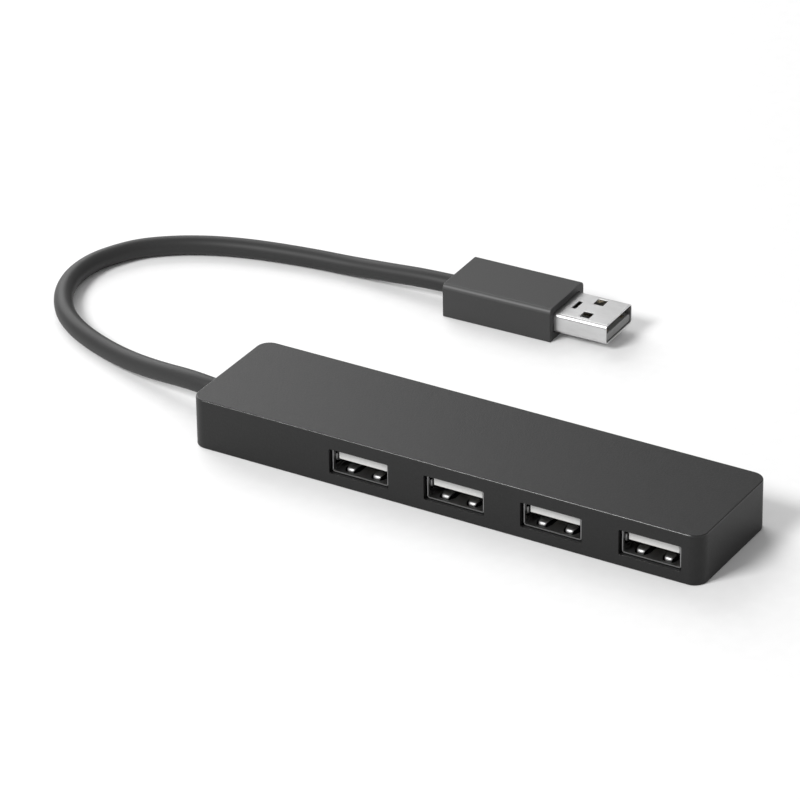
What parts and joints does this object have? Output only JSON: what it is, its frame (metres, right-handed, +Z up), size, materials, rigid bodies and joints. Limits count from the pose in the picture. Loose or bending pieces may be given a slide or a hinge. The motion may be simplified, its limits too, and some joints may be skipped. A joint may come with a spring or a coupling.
{
  "type": "usb hub",
  "caption": "Slim flat USB hub: a row of type-A sockets along one long side, and a short captive cable with a type-A plug.",
  "frame": {"origin": "middle of the case's underside, on the surface that it stands on", "axes": "+X along the case to its free end (the cable leaves the -X end), +Y away from the sockets, +Z up"},
  "size_m": [0.18, 0.0899, 0.0112],
  "materials": {
    "case_plastic": "fine spark texture, satin",
    "overmould_plastic": "fine matt texture",
    "cable_jacket": "smooth matt jacket",
    "white_plastic": "satin moulding",
    "nickel_plate": "bright nickel plate over folded sheet",
    "grey_plastic": "grey moulded insulator",
    "dark_nickel": "duller nickel plate on the sockets' sheet",
    "gold_plate": "thin gold plate",
    "board_laminate": "black solder mask over glass laminate",
    "chip_epoxy": "moulded epoxy",
    "can_metal": "drawn can",
    "ceramic_chip": "fired ceramic",
    "wire_red": "wire insulation",
    "wire_white": "wire insulation",
    "wire_green": "wire insulation",
    "wire_black": "wire insulation"
  },
  "bodies": {
    "root": {"top_shell": "case_plastic", "bottom_cover": "case_plastic", "plug_overmould": "overmould_plastic", "cable": "cable_jacket", "cable_anchor": "cable_jacket", "socket_1_insulator": "white_plastic", "socket_2_insulator": "white_plastic", "socket_3_insulator": "white_plastic", "socket_4_insulator": "white_plastic", "plug_inner_mould": "white_plastic", "plug_insulator": "grey_plastic", "plug_shell": "nickel_plate", "socket_1_shell": "dark_nickel", "socket_2_shell": "dark_nickel", "socket_3_shell": "dark_nickel", "socket_4_shell": "dark_nickel", "socket_1_contact_1": "gold_plate", "socket_1_contact_2": "gold_plate", "socket_1_contact_3": "gold_plate", "socket_1_contact_4": "gold_plate", "socket_2_contact_1": "gold_plate", "socket_2_contact_2": "gold_plate", "socket_2_contact_3": "gold_plate", "socket_2_contact_4": "gold_plate", "socket_3_contact_1": "gold_plate", "socket_3_contact_2": "gold_plate", "socket_3_contact_3": "gold_plate", "socket_3_contact_4": "gold_plate", "socket_4_contact_1": "gold_plate", "socket_4_contact_2": "gold_plate", "socket_4_contact_3": "gold_plate", "socket_4_contact_4": "gold_plate", "plug_contact_1": "gold_plate", "plug_contact_2": "gold_plate", "plug_contact_3": "gold_plate", "plug_contact_4": "gold_plate", "circuit_board": "board_laminate", "hub_controller": "chip_epoxy", "supply_fuse": "chip_epoxy", "crystal": "can_metal", "bulk_capacitor_1": "can_metal", "bulk_capacitor_2": "can_metal", "port_capacitor_1": "ceramic_chip", "port_capacitor_2": "ceramic_chip", "port_capacitor_3": "ceramic_chip", "port_capacitor_4": "ceramic_chip", "wire_red": "wire_red", "wire_white": "wire_white", "wire_green": "wire_green", "wire_black": "wire_black"}
  },
  "joints": []
}
